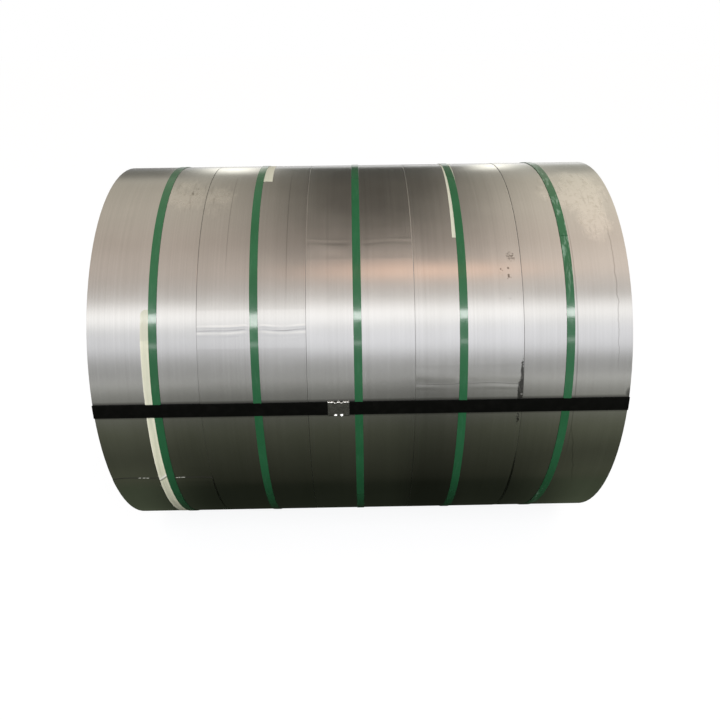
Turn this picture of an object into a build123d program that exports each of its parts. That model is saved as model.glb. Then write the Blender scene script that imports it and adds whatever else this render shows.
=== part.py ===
"""Five slit coils of galvanized steel strip, side by side on one axis and strapped into one bundle.

The bundle lies on its round side. X runs along the coils' axis, -Y is the front, and Z = 0 is the floor.
Angles round the axis are in degrees above the front horizon: 0 is the front, 90 the top, 180 the back.
"""

import os
from math import acos, asin, cos, degrees, radians, sin, sqrt

from build123d import *

# Slit strip and its winding
STRIP_COUNT = 5
STRIP_WIDTH = 249.4
STRIP_GAP = 0.6  # hairline between neighbouring coils
GAUGE = 1.0  # sheet thickness with its zinc
TURNS = 250
BORE_DIAMETER = 508.0
HEAD_ANGLE = 215.0  # where the first turn starts on the bore wall
TAIL_ANGLES = (-19.0, 26.6, 50.3, 11.4, 150.0)  # where each strip's last turn ends
SET_BACK_FIRST = 96  # turns that ran a little inwards on the bundle's two ends, counted from the bore
SET_BACK_LAST = 158
SET_BACK_DEPTH = 0.8

# Plastic bands, one round each coil
BAND_WIDTH = 19.0
BAND_THICKNESS = 1.0
BAND_SEAT = 0.25  # the band rides this far off the strip, which leaves room for tape under it
BAND_LAP = 120.0  # length of the welded double ply
BANDS = (  # offset from the middle of the coil's width, lean and yaw in degrees, angle of the lap's cut end
    (15.0, 0.46, 1.04, 118.0),
    (1.5, -0.38, 0.76, 131.0),
    (-4.0, -0.23, -0.28, 107.0),
    (-11.0, 0.19, -0.38, 124.0),
    (-30.5, 1.27, 0.99, 51.5),
)

# Paper tape that held the strip ends while the coils were banded
TAPE_WIDTH = 25.0
TAPE_THICKNESS = 0.18
TAPE_SEAT = 0.02
TAPES = {  # by coil: offset from the middle of its width, first angle, last angle, tilt in degrees
    1: (2.0, -58.0, 32.5, -1.33),
    2: (14.0, 77.3, 112.0, 2.0),
    4: (-11.7, 51.5, 108.0, -1.4),
}

# Steel strap through the eye, and its seal
EYE_ANGLE = 5.0
EYE_STRAP_WIDTH = 32.0
EYE_STRAP_THICKNESS = 0.8
EYE_STRAP_SEAT = 0.3
EYE_STRAP_BEND = 0.8  # inner radius where it turns over the coils' edges
EYE_STRAP_LAP = 104.0
SEAL_OFFSET = -54.0  # middle of the seal along the axis
SEAL_LENGTH = 50.0
SEAL_WALL = 0.9
SEAL_PLAY = 0.1  # clearance over and under the two plies
SEAL_SIDE_PLAY = 1.6
SEAL_MOUTH = 12.0  # gap between the two folded flanges
SEAL_CORNER = 1.3
NOTCH_RADIUS = 4.0
NOTCH_SPACING = 14.0
NOTCH_COLLAR = 1.6  # height of the lip that the notching jaws turn out

# Sizes that follow
BUNDLE_LENGTH = STRIP_COUNT * STRIP_WIDTH + (STRIP_COUNT - 1) * STRIP_GAP
BORE_RADIUS = BORE_DIAMETER / 2
COIL_RADIUS = BORE_RADIUS + TURNS * GAUGE
BAND_RADIUS = COIL_RADIUS + BAND_SEAT + BAND_THICKNESS
AXIS_HEIGHT = BAND_RADIUS
STRAP_REST = BAND_RADIUS + EYE_STRAP_SEAT  # radius of the eye strap's under face, across the bands
REACH = 2 * BAND_RADIUS


def polar(radius, angle):
    """A point in a cross-section, by its radius and its angle above the front horizon."""
    return Vector(radius * cos(radians(angle)), radius * sin(radians(angle)))


def coil_middle(number):
    """Place along the axis of the middle of a coil's width, for coils numbered from 1 at the left."""
    pitch = STRIP_WIDTH + STRIP_GAP
    return (number - (STRIP_COUNT + 1) / 2) * pitch


def cross_section(x):
    """Plane across the axis at x, whose own x points to the front and y up."""
    return Plane(origin=(x, 0, AXIS_HEIGHT), x_dir=(0, -1, 0), z_dir=(-1, 0, 0))


def last_turn(tail_angle, taut=False):
    """Outline of a coil's last turn: four tangent quarter arcs that lose one gauge in a full turn.

    It ends in the step of the cut tail. A taut outline spans that step with a straight line, as a
    band or a tape does.
    """
    drop = GAUGE / 4
    last_radius = COIL_RADIUS - 3 * drop
    span = degrees(acos(last_radius / (COIL_RADIUS + drop))) if taut else 0
    centre = Vector(0, 0)
    with BuildSketch(Plane.XY) as outline:
        with BuildLine():
            for quarter in range(4):
                start = tail_angle - 90 * quarter
                sweep = 90 - span if quarter == 3 else 90
                arc = CenterArc(centre, COIL_RADIUS - quarter * drop, start, -sweep)
                centre += polar(drop, start - 90)
            Line(arc @ 1, polar(COIL_RADIUS, tail_angle))
        make_face()
    return outline.sketch


def bore_outline():
    """The round bore, with the thin void where the second turn climbs over the head of the strip."""
    climb = degrees(acos(BORE_RADIUS / (BORE_RADIUS + GAUGE)))
    with BuildSketch(Plane.XY) as outline:
        with BuildLine():
            wall = CenterArc((0, 0), BORE_RADIUS, HEAD_ANGLE, 360 - climb)
            Polyline(wall @ 1, polar(BORE_RADIUS + GAUGE, HEAD_ANGLE), wall @ 0)
        make_face()
    return outline.sketch


def sector(first_angle, last_angle):
    """A wedge from the axis, wider than the bundle, between two angles less than half a turn apart."""
    with BuildSketch(Plane.XY) as wedge:
        with BuildLine():
            Polyline((0, 0), polar(REACH, first_angle), polar(REACH, last_angle), close=True)
        make_face()
    return wedge.sketch


def save(piece, name):
    """Names a finished piece and writes it to its own file."""
    piece.label = name
    export_step(piece, os.path.join("parts", f"{name}.step"))


os.makedirs("parts", exist_ok=True)

# Slit coils: wound strip, with a stepped tail outside and the head's void on the bore
for number, tail_angle in enumerate(TAIL_ANGLES, start=1):
    middle = coil_middle(number)
    with BuildPart() as coil:
        with BuildSketch(cross_section(middle)):
            add(last_turn(tail_angle))
            add(bore_outline(), mode=Mode.SUBTRACT)
        extrude(amount=STRIP_WIDTH / 2, both=True)
        # On the bundle's two ends, the turns that ran inwards leave a shallow ring
        for end_coil, side in ((1, -1), (STRIP_COUNT, 1)):
            if number == end_coil:
                with BuildSketch(cross_section(middle + side * STRIP_WIDTH / 2)):
                    Circle(BORE_RADIUS + SET_BACK_LAST * GAUGE)
                    Circle(BORE_RADIUS + SET_BACK_FIRST * GAUGE, mode=Mode.SUBTRACT)
                extrude(amount=side * SET_BACK_DEPTH, mode=Mode.SUBTRACT)
    save(coil.part, f"slit_coil_{number}")

# Plastic bands: a ring over the coil's last turn, doubled where its ends are welded
lap_sweep = degrees(BAND_LAP / BAND_RADIUS)
for number, (band_offset, lean, yaw, lap_end) in enumerate(BANDS, start=1):
    middle = coil_middle(number) + band_offset
    taut_turn = last_turn(TAIL_ANGLES[number - 1], taut=True)
    with BuildPart() as band:
        with BuildSketch(cross_section(middle)):
            offset(taut_turn, amount=BAND_SEAT + 2 * BAND_THICKNESS, mode=Mode.ADD)
            add(sector(lap_end, lap_end + lap_sweep), mode=Mode.INTERSECT)
            offset(taut_turn, amount=BAND_SEAT + BAND_THICKNESS, mode=Mode.ADD)
            offset(taut_turn, amount=BAND_SEAT, mode=Mode.SUBTRACT)
        extrude(amount=STRIP_WIDTH / 2, both=True)
        with Locations((middle, 0, AXIS_HEIGHT)):
            Box(BAND_WIDTH, 2 * REACH, 2 * REACH, rotation=(0, lean, yaw), mode=Mode.INTERSECT)
    save(band.part, f"band_{number}")

# Paper tapes: short lengths stuck to the last turn, the fourth coil's partly under its band
for number, (tape_offset, first_angle, last_angle, tilt) in TAPES.items():
    middle = coil_middle(number) + tape_offset
    taut_turn = last_turn(TAIL_ANGLES[number - 1], taut=True)
    mid_angle = (first_angle + last_angle) / 2
    outward = polar(1, mid_angle)
    with BuildPart() as tape:
        with BuildSketch(cross_section(middle)):
            offset(taut_turn, amount=TAPE_SEAT + TAPE_THICKNESS, mode=Mode.ADD)
            offset(taut_turn, amount=TAPE_SEAT, mode=Mode.SUBTRACT)
            add(sector(first_angle, last_angle), mode=Mode.INTERSECT)
        extrude(amount=2 * TAPE_WIDTH, both=True)
        outward_plane = Plane(
            origin=(middle, 0, AXIS_HEIGHT), x_dir=(1, 0, 0), z_dir=(0, -outward.X, outward.Y)
        )
        with Locations(outward_plane.location):
            Box(TAPE_WIDTH, REACH, REACH, rotation=(0, 0, tilt), mode=Mode.INTERSECT)
    save(tape.part, f"tape_{number}")

# Eye strap: a loop over the bands, down both ends and back along the bore
outward = polar(1, EYE_ANGLE)
upward = polar(1, EYE_ANGLE + 90)
strap_bottom = BORE_RADIUS - EYE_STRAP_SEAT
core_length = BUNDLE_LENGTH + 2 * EYE_STRAP_SEAT
core_height = STRAP_REST - strap_bottom
core_middle = (STRAP_REST + strap_bottom) / 2
spread = 2 * degrees(asin(EYE_STRAP_WIDTH / strap_bottom))
first_side = EYE_ANGLE - spread / 2
axis_plane = Plane(
    origin=(0, 0, AXIS_HEIGHT),
    x_dir=(1, 0, 0),
    z_dir=(0, -sin(radians(first_side)), -cos(radians(first_side))),
)
seal_plane = Plane(
    origin=(SEAL_OFFSET, 0, AXIS_HEIGHT), x_dir=(0, -upward.X, upward.Y), z_dir=(1, 0, 0)
)
strap_top = STRAP_REST + 2 * EYE_STRAP_THICKNESS
strap_edge_drop = STRAP_REST - sqrt(STRAP_REST**2 - (EYE_STRAP_WIDTH / 2) ** 2)
cavity_width = EYE_STRAP_WIDTH + 2 * SEAL_SIDE_PLAY
cavity_height = 2 * EYE_STRAP_THICKNESS + strap_edge_drop + 2 * SEAL_PLAY
cavity_middle = strap_top + SEAL_PLAY - cavity_height / 2
seal_width = cavity_width + 2 * SEAL_WALL
seal_height = cavity_height + 2 * SEAL_WALL
seal_top = cavity_middle + seal_height / 2
top_plane = Plane(
    origin=(SEAL_OFFSET, -seal_top * outward.X, AXIS_HEIGHT + seal_top * outward.Y),
    x_dir=(1, 0, 0),
    z_dir=(0, -outward.X, outward.Y),
)

with BuildPart() as eye_strap:
    with BuildSketch(axis_plane):
        with Locations((0, core_middle)):
            RectangleRounded(
                core_length + 2 * EYE_STRAP_THICKNESS,
                core_height + 2 * EYE_STRAP_THICKNESS,
                EYE_STRAP_BEND + EYE_STRAP_THICKNESS,
            )
        with Locations((SEAL_OFFSET, STRAP_REST + EYE_STRAP_THICKNESS)):
            Rectangle(EYE_STRAP_LAP, 2 * EYE_STRAP_THICKNESS)
        with Locations((0, core_middle)):
            RectangleRounded(core_length, core_height, EYE_STRAP_BEND, mode=Mode.SUBTRACT)
    revolve(axis=Axis((0, 0, AXIS_HEIGHT), (-1, 0, 0)), revolution_arc=spread)
    with Locations(seal_plane.location):
        Box(EYE_STRAP_WIDTH, REACH + BAND_WIDTH, 2 * BUNDLE_LENGTH, mode=Mode.INTERSECT)
    # The notching jaws cut the two plies together with the seal
    with Locations(top_plane.location):
        with GridLocations(NOTCH_SPACING, seal_width, 2, 2):
            Cylinder(NOTCH_RADIUS, 4 * seal_height, mode=Mode.SUBTRACT)
save(eye_strap.part, "eye_strap")

# Seal: a folded sleeve round both plies, notched at its edges with the cut lips turned out
with BuildPart() as seal:
    with BuildSketch(seal_plane) as sleeve:
        with Locations((0, cavity_middle)):
            Rectangle(seal_width, seal_height)
        fillet(sleeve.vertices(), SEAL_CORNER)
        with Locations((0, cavity_middle)):
            Rectangle(cavity_width, cavity_height, mode=Mode.SUBTRACT)
        with Locations((0, cavity_middle - seal_height / 2)):
            Rectangle(SEAL_MOUTH, seal_height, mode=Mode.SUBTRACT)
    extrude(amount=SEAL_LENGTH / 2, both=True)
    with Locations(top_plane.offset(-SEAL_WALL).location):
        with GridLocations(NOTCH_SPACING, seal_width, 2, 2):
            Cylinder(
                NOTCH_RADIUS + SEAL_WALL,
                SEAL_WALL + NOTCH_COLLAR,
                align=(Align.CENTER, Align.CENTER, Align.MIN),
            )
            Cylinder(NOTCH_RADIUS, 4 * seal_height, mode=Mode.SUBTRACT)
        Box(SEAL_LENGTH, seal_width, 4 * seal_height, mode=Mode.INTERSECT)
save(seal.part, "strap_seal")
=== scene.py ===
from math import acos, asin, atan2, cos, degrees, pi, radians, sin

import bmesh
import bpy
from mathutils import Matrix, Vector, noise


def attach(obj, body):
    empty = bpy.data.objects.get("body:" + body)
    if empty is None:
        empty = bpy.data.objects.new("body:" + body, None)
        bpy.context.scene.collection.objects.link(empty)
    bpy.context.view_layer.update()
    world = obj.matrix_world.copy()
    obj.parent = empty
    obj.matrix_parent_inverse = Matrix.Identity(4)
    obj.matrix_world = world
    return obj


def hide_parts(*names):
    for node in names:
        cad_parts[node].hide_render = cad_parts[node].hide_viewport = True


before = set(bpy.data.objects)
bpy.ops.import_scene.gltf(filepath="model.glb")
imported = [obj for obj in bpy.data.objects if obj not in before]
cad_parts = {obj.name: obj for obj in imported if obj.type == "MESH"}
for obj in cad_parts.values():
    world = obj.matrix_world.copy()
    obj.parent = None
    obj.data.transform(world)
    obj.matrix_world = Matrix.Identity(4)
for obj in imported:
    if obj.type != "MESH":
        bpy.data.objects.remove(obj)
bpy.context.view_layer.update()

# Slit coils: galvanized strip 1 mm thick, slit to 250 mm and wound tight on a 508 mm mandrel.
# Each is one spiral, so its round face drops by one sheet at the square-cut tail, and the slit
# edges of all its turns show on the ends. Its band presses the tail down, and it lifts beside the band.
AXIS = Vector((0.0, 0.0, 0.50525))
GAUGE = 0.001
TURNS = 250
BORE = 0.254
COIL = BORE + TURNS * GAUGE
COIL_PITCH = 0.25
STRIP = 0.2494
HEAD = 215.0
HEAD_VOID = degrees(acos(BORE / (BORE + GAUGE)))
# On the bundle's ends, the gap between two turns' edges and the turns that lie further back than the rest
TURN_GROOVE = 0.00016
SET_BACK = 0.0007
SET_BACK_TURNS = range(96, 158)
TAILS = (-19.0, 26.6, 50.3, 11.4, 150.0)
# Where the sheet stands off near each tail: degrees below the edge, or above it on the turn beneath,
# the arcs that it rises over from the edge's side and from the other, and its height
TAIL_BENDS = (((0.0, 0.5, 0.5, 0.00025), (1.6, 1.5, 1.5, 0.0002)),
              ((0.0, 0.4, 0.4, 0.0003), (1.3, 0.9, 0.9, 0.00026), (2.3, 0.3, 0.3, 0.0001),
               (-0.66, 0.56, 0.56, 0.0002)),
              ((0.0, 0.34, 0.34, 0.00014), (1.25, 1.25, 3.4, 0.0005), (-0.8, 0.8, 0.8, 0.00018)),
              ((-2.3, 2.2, 2.2, 0.00026), (1.0, 0.9, 0.9, 0.00012)),
              ((0.0, 0.5, 0.5, 0.0003),))
# The lifts reach this many degrees from a tail, whose edge waves by up to about this many
TAIL_REACH = 5
EDGE_WAVE = 0.85
# Stretch of each coil's tail that its band, and on the first coil its tape, holds down. It stays down
# a little beyond, and comes free over the ease.
HOLD_CLEAR = 0.001
HOLD_EASE = 0.007
TAIL_HOLDS = ((-0.513, -0.467), (-0.2555, -0.2325), (-0.0175, 0.0045), (0.2245, 0.2475), (0.463, 0.489))
# Each band's place on its coil, how far it leans at the top and yaws at the front, and its lap's cut end
BANDS = ((0.015, 0.46, 1.04, 118.0), (0.0015, -0.38, 0.76, 131.0), (-0.004, -0.23, -0.28, 107.0),
         (-0.011, 0.19, -0.38, 124.0), (-0.0305, 1.27, 0.99, 51.5))


def coil_middle(number):
    return (number - 3) * COIL_PITCH


def around(x, radius, angle):
    """The point at x along the axis, at a radius and at an angle in degrees above the front horizon."""
    turn = radians(angle)
    return Vector((x, -radius * cos(turn), AXIS.z + radius * sin(turn)))


def polar(point):
    """Radius and angle in degrees above the front horizon."""
    return Vector((point.y, point.z - AXIS.z)).length, degrees(atan2(point.z - AXIS.z, -point.y))


def round_face(angle, tail):
    """Radius of a coil's round face, which loses one sheet in a full turn below its tail."""
    return COIL - GAUGE * ((tail - angle) % 360) / 360


def band_middle(number, angle):
    """Place along the axis of a band's middle at an angle."""
    offset, lean, yaw, _ = BANDS[number - 1]
    shift = sin(radians(lean)) * sin(radians(angle)) + sin(radians(yaw)) * cos(radians(angle))
    return coil_middle(number) + offset + COIL * shift


def free_of_holds(number, x):
    """From 0 where a band or tape holds the tail down to 1 well away from them."""
    low, high = TAIL_HOLDS[number - 1]
    away = min(1.0, max(0.0, (max(low - x, x - high) - HOLD_CLEAR) / HOLD_EASE))
    return away * away * (3 - 2 * away)


def tail_lift(number, below, x):
    """How far the sheet stands off, at degrees below the tail's edge or above it on the turn beneath."""
    lift = 0.0
    for centre, near, far, height in TAIL_BENDS[number - 1]:
        off = below - centre - 0.3 * min(1.0, abs(centre)) * noise.noise((x * 9, centre, number))
        off = abs(off) / (far if off * centre > 0 else near)
        if off < 1 and (below >= 0) == (centre >= 0):
            uneven = 1 + 0.9 * noise.noise((x * 17, 3 * centre, number + 0.4))
            lift += uneven * height * (1 + cos(radians(180 * off))) / 2
    return lift


def slit_edge_set_back(turn):
    """How far a turn's slit edge lies inside the bundle's end."""
    slow = 0.00022 * (1 + noise.noise((turn / 26, 0.3, 4.1)))
    quick = 0.00009 * (1 + noise.noise((turn * 0.83, 7.7, 1.9)))
    return slow + quick + (SET_BACK if turn in SET_BACK_TURNS else 0.0)


def to_object(name, bm, sharp_from):
    """An object with smooth faces, apart from edges that turn by more than an angle in degrees."""
    for face in bm.faces:
        face.smooth = True
    mesh = bpy.data.meshes.new(name)
    bm.to_mesh(mesh)
    bm.free()
    mesh.set_sharp_from_angle(angle=radians(sharp_from))
    made = bpy.data.objects.new(name, mesh)
    bpy.context.scene.collection.objects.link(made)
    return made


def wind_coil(number):
    """A coil's section at its tail, spun once round and drawn in by one sheet on the way."""
    tail = TAILS[number - 1]
    left = coil_middle(number) - STRIP / 2
    right = coil_middle(number) + STRIP / 2
    soft, lip, tail_cuts = 0.00018, 0.001, 40
    bm = bmesh.new()
    corners = [bm.verts.new(around(x, r, tail)) for x, r in (
        (left, BORE), (right, BORE), (right, COIL - soft), (right - 0.3 * soft, COIL - 0.3 * soft),
        (right - soft, COIL), (right - lip, COIL), (left + lip, COIL), (left + soft, COIL),
        (left + 0.3 * soft, COIL - 0.3 * soft), (left, COIL - soft))]
    sides = [bm.edges.new((a, b)) for a, b in zip(corners, corners[1:] + corners[:1])]
    bmesh.ops.subdivide_edges(bm, edges=[sides[5]], cuts=tail_cuts)
    # On the bundle's ends every turn has its own edge, a little proud of or behind its neighbours
    for end_coil, side, inward in ((1, sides[9], 1), (5, sides[1], -1)):
        if number == end_coil:
            cut = bmesh.ops.subdivide_edges(bm, edges=[side], cuts=2 * TURNS - 1)
            for vert in (v for v in cut["geom_inner"] if isinstance(v, bmesh.types.BMVert)):
                half_turns = (polar(vert.co)[0] - BORE) / GAUGE * 2
                groove = 0.0 if round(half_turns) % 2 else TURN_GROOVE
                vert.co.x += inward * (slit_edge_set_back(int(half_turns / 2 + 0.1)) + groove)
    first = set(bm.verts)
    # Short steps where the tail lifts and where the second turn climbs over the head, long ones elsewhere
    to_head = (tail - HEAD) % 360
    stops = ((2.4, 0.16), (5.2, 0.4), (to_head, 3.6), (to_head + 0.03, 0.03), (to_head + HEAD_VOID, 1.7),
             (354.8, 3.6), (358.4, 0.4), (360.0, 0.16))
    section, turned = bm.verts[:] + bm.edges[:], 0.0
    for stop, step in stops:
        steps = max(1, round((stop - turned) / step))
        spun = bmesh.ops.spin(bm, geom=section, cent=AXIS, axis=(1, 0, 0), angle=radians(stop - turned),
                              steps=steps, use_merge=False, use_duplicate=False)
        section, turned = spun["geom_last"], stop
    last = {v for v in section if isinstance(v, bmesh.types.BMVert)}
    cut_faces = []
    for ring in (first, last):
        loop = [e for e in bm.edges if e.verts[0] in ring and e.verts[1] in ring]
        cut_faces += bmesh.ops.edgeloop_fill(bm, edges=loop)["faces"]
    # Split from its middle while flat, so that each stretch of the tail keeps its own face when it waves
    cut_faces = set(bmesh.ops.poke(bm, faces=cut_faces)["faces"])
    for vert in bm.verts:
        radius, angle = polar(vert.co)
        wound = 0.0 if vert in first else 1.0 if vert in last else ((tail - angle) % 360) / 360
        depth = (radius - BORE) / (COIL - BORE)
        moved = radius - GAUGE * wound * depth
        below = 360 * wound if wound < 0.5 else 360 * wound - 360 - 0.0001
        if depth > 0.99 and abs(below) < TAIL_REACH:
            free = free_of_holds(number, vert.co.x)
            if depth > 0.999:
                moved += free * tail_lift(number, below, vert.co.x)
            wave = EDGE_WAVE * noise.noise((vert.co.x * 12, number, 0.5))
            angle += free * (1 - abs(below) / TAIL_REACH) * wave
        past_head = (HEAD - angle) % 360
        if depth < 0.0001 and 0.01 < past_head < HEAD_VOID:
            moved += GAUGE * (1 - past_head / HEAD_VOID)
        vert.co = around(vert.co.x, moved, angle)
    bmesh.ops.recalc_face_normals(bm, faces=bm.faces)
    for face in bm.faces:
        face.material_index = 2 if face in cut_faces else 1 if abs(face.normal.x) > 0.7 else 0
    return to_object(f"slit_coil_{number}_wound", bm, 38)


def place(tree, kind, inputs=(), **settings):
    """Adds a node, with its properties and with its inputs set to values or linked to sockets."""
    made = tree.nodes.new(kind)
    for name, value in settings.items():
        setattr(made, name, value)
    for key, value in inputs.items() if isinstance(inputs, dict) else enumerate(inputs):
        if isinstance(value, bpy.types.NodeSocket):
            tree.links.new(value, made.inputs[key])
        elif value is not None:
            made.inputs[key].default_value = value
    return made


def sums(tree, operation, *values):
    return place(tree, "ShaderNodeMath", values, operation=operation).outputs[0]


def times(tree, first, second):
    return sums(tree, "MULTIPLY", first, second)


def scaled(tree, value, factor, added):
    """A number times a factor, with another added."""
    return sums(tree, "MULTIPLY_ADD", value, factor, added)


def apart(tree, value, middle):
    """How far a number is from another."""
    return sums(tree, "ABSOLUTE", sums(tree, "SUBTRACT", value, middle))


def blend(tree, share, first, second):
    """Mixes two numbers."""
    mixed = place(tree, "ShaderNodeMix", {0: share, 2: first, 3: second}, data_type="FLOAT")
    return mixed.outputs[0]


def tint(tree, share, first, second, how="MIX"):
    """Mixes two colours."""
    mixed = place(tree, "ShaderNodeMix", {0: share, 6: first, 7: second}, data_type="RGBA", blend_type=how)
    return mixed.outputs[2]


def fade(tree, value, low, high, start=0.0, end=1.0):
    """Maps a range of a number smoothly onto another."""
    return place(tree, "ShaderNodeMapRange", [value, low, high, start, end],
                 interpolation_type="SMOOTHSTEP").outputs[0]


def speckle(tree, vector, scale, size, detail=2.0, roughness=0.5, move=(0, 0, 0)):
    """Noise from stretched coordinates."""
    stretched = place(tree, "ShaderNodeMapping", {"Vector": vector, "Location": move, "Scale": scale})
    grain = {"Vector": stretched.outputs[0], "Scale": size, "Detail": detail, "Roughness": roughness}
    return place(tree, "ShaderNodeTexNoise", grain).outputs[0]


def new_group(name, inputs, outputs):
    """A shader node group with float sockets, except that Vector is a vector."""
    group = bpy.data.node_groups.new(name, "ShaderNodeTree")
    for way, names in (("INPUT", inputs), ("OUTPUT", outputs)):
        for socket in names:
            kind = "NodeSocketVector" if socket == "Vector" else "NodeSocketFloat"
            group.interface.new_socket(socket, in_out=way, socket_type=kind)
    return group, place(group, "NodeGroupInput").outputs, place(group, "NodeGroupOutput").inputs


def use_group(tree, group, **inputs):
    made = place(tree, "ShaderNodeGroup", node_tree=group)
    for name, value in inputs.items():
        socket = made.inputs[name.replace("_", " ")]
        if isinstance(value, bpy.types.NodeSocket):
            tree.links.new(value, socket)
        else:
            socket.default_value = value
    return made.outputs


# Where a point lies on the bundle: metres along the axis, degrees above the front, and radius
on_bundle, given, out = new_group("place on the bundle", ["Vector"], ["Along", "Angle", "Radius"])
part = place(on_bundle, "ShaderNodeSeparateXYZ", [given["Vector"]]).outputs
up = sums(on_bundle, "SUBTRACT", part["Z"], AXIS.z)
front = times(on_bundle, part["Y"], -1.0)
on_bundle.links.new(part["X"], out["Along"])
on_bundle.links.new(sums(on_bundle, "DEGREES", sums(on_bundle, "ARCTAN2", up, front)), out["Angle"])
square = sums(on_bundle, "ADD", times(on_bundle, up, up), times(on_bundle, front, front))
on_bundle.links.new(sums(on_bundle, "SQRT", square), out["Radius"])

# A soft-edged patch on a round face, for smudges, grease and rubbed spots
PATCH_INPUTS = ["Along", "Angle", "Radius", "Middle", "Middle angle", "Half width", "Half angle"]
patch, given, out = new_group("patch on the round face", PATCH_INPUTS, ["Mask"])
across = sums(patch, "SUBTRACT", given["Along"], given["Middle"])
across = sums(patch, "DIVIDE", across, given["Half width"])
along = sums(patch, "SUBTRACT", given["Angle"], given["Middle angle"])
along = sums(patch, "DIVIDE", along, given["Half angle"])
far = sums(patch, "ADD", times(patch, across, across), times(patch, along, along))
near_face = fade(patch, given["Radius"], 0.48, 0.49)
patch.links.new(times(patch, fade(patch, far, 1.0, 0.0), near_face), out["Mask"])

# Lines that the rolls leave along a strip: fine ones, broad ones and slow changes of tone
rolled, given, out = new_group("rolling lines", ["Vector"], ["Fine", "Broad", "Slow"])
for line, stretch, size, roughness, move in (("Fine", 0.004, 300.0, 0.5, (0, 0, 0)),
                                             ("Broad", 0.014, 95.0, 0.55, (3, 1, 7)),
                                             ("Slow", 0.35, 7.0, 0.5, (9, 4, 2))):
    drawn_out = speckle(rolled, given["Vector"], (1, stretch, stretch), size, 2.0, roughness, move)
    rolled.links.new(drawn_out, out[line])


def new_material(name):
    material = bpy.data.materials.new(name)
    material.use_nodes = True
    tree = material.node_tree
    shader = tree.nodes["Principled BSDF"]
    return material, tree, shader, place(tree, "ShaderNodeTexCoord").outputs["Object"]


zinc, tree, shader, spot = new_material("bright_zinc")
where = use_group(tree, on_bundle, Vector=spot)
lines = use_group(tree, rolled, Vector=spot)
strip_number = sums(tree, "FLOOR", scaled(tree, where["Along"], 4.0, 2.5))
strip_tone = place(tree, "ShaderNodeTexWhiteNoise", {"W": strip_number}, noise_dimensions="1D")
strip_tone = times(tree, strip_tone.outputs["Value"], 0.15)
haze = speckle(tree, spot, (1, 1, 1), 11.0, 3.0, 0.55, (6, 2, 8))
spangle = speckle(tree, spot, (1, 1, 1), 520.0, 2.0, 0.6, (8, 1, 5))
tone = scaled(tree, lines["Broad"], 0.19, scaled(tree, spangle, 0.16, -0.04))
tone = scaled(tree, lines["Fine"], 0.25, tone)
tone = sums(tree, "ADD", tone, scaled(tree, lines["Slow"], 0.25, strip_tone))
tone = scaled(tree, haze, 0.3, tone)
colour = tint(tree, fade(tree, tone, 0.35, 0.95), (0.585, 0.583, 0.57, 1), (0.70, 0.70, 0.69, 1))
rough = scaled(tree, lines["Broad"], 0.04, scaled(tree, haze, 0.07, 0.145))


def patch_at(middle, angle, half_width, half_angle, along=None):
    """Mask of a soft patch on the round face, which may have its own measure along the axis."""
    made = use_group(tree, patch, Along=along or where["Along"], Angle=where["Angle"], Radius=where["Radius"],
                     Middle=middle, Middle_angle=angle, Half_width=half_width, Half_angle=half_angle)
    return made["Mask"]


def heaped(masks):
    """Several masks as one."""
    whole = masks[0]
    for mask in masks[1:]:
        whole = sums(tree, "MAXIMUM", whole, mask)
    return whole


# Pale rubbed places with slanting scuffs near the top of the outer coils, where other goods touched them
touched = heaped([patch_at(0.537, 70.0, 0.11, 15.0), patch_at(0.565, 58.0, 0.06, 11.0),
                  patch_at(-0.425, 70.0, 0.075, 11.0),
                  times(tree, patch_at(-0.345, 68.0, 0.06, 10.0), 0.7)])
worn = speckle(tree, spot, (1, 1, 1), 17.0, 4.0, 0.65, (2, 7, 4))
rubbed = fade(tree, scaled(tree, worn, 2.2, touched), 1.32, 2.2)
rubbed = times(tree, rubbed, fade(tree, touched, 0.0, 0.25))
flecks = speckle(tree, spot, (1, 1, 1), 75.0, 3.0, 0.65, (1, 5, 3))
flecks = times(tree, rubbed, fade(tree, flecks, 0.5, 0.68))
colour = tint(tree, times(tree, rubbed, 0.74), colour, (0.88, 0.87, 0.84, 1))
colour = tint(tree, times(tree, flecks, 0.3), colour, (0.46, 0.44, 0.38, 1))
rough = blend(tree, times(tree, rubbed, 0.6), rough, 0.36)
METRES_PER_DEGREE = 0.0088
round_way = times(tree, where["Angle"], METRES_PER_DEGREE)
unrolled = place(tree, "ShaderNodeCombineXYZ", [where["Along"], round_way, 0.0]).outputs[0]
slant = {"Vector": unrolled, "Rotation": (0, 0, radians(38)), "Scale": (1, 0.16, 1)}
slope = place(tree, "ShaderNodeMapping", slant).outputs[0]
scuffs = speckle(tree, slope, (1, 1, 1), 120.0, 3.0, 0.6, (5, 3, 9))
for low, high, shade in ((0.57, 0.64, (0.92, 0.91, 0.88, 1)), (0.43, 0.36, (0.32, 0.31, 0.28, 1))):
    line = times(tree, fade(tree, scuffs, low, high), fade(tree, touched, 0.05, 0.5, 0.0, 0.2))
    colour = tint(tree, line, colour, shade)
# Dry dirt: a smudge on the fourth coil with loose specks below it, and two spots on the first
grit = speckle(tree, spot, (1, 1, 1), 330.0, 2.0, 0.6, (1, 5, 3))
smudge = heaped([patch_at(0.352, 45.4, 0.015, 1.9), patch_at(-0.404, 73.0, 0.006, 0.9),
                 patch_at(-0.412, 70.6, 0.005, 1.6)])
dirt = fade(tree, scaled(tree, smudge, 0.2, grit), 0.65, 0.74)
dirt = times(tree, dirt, fade(tree, smudge, 0.0, 0.2))
cells = place(tree, "ShaderNodeTexVoronoi", {"Vector": spot, "Scale": 165.0})
size_of_speck = place(tree, "ShaderNodeSeparateColor", [cells.outputs["Color"]]).outputs["Red"]
loose = heaped([patch_at(0.341, 41.0, 0.024, 3.4), times(tree, patch_at(0.351, 35.0, 0.022, 5.0), 0.4)])
reach = times(tree, times(tree, size_of_speck, 0.6), fade(tree, loose, 0.0, 0.8))
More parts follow.
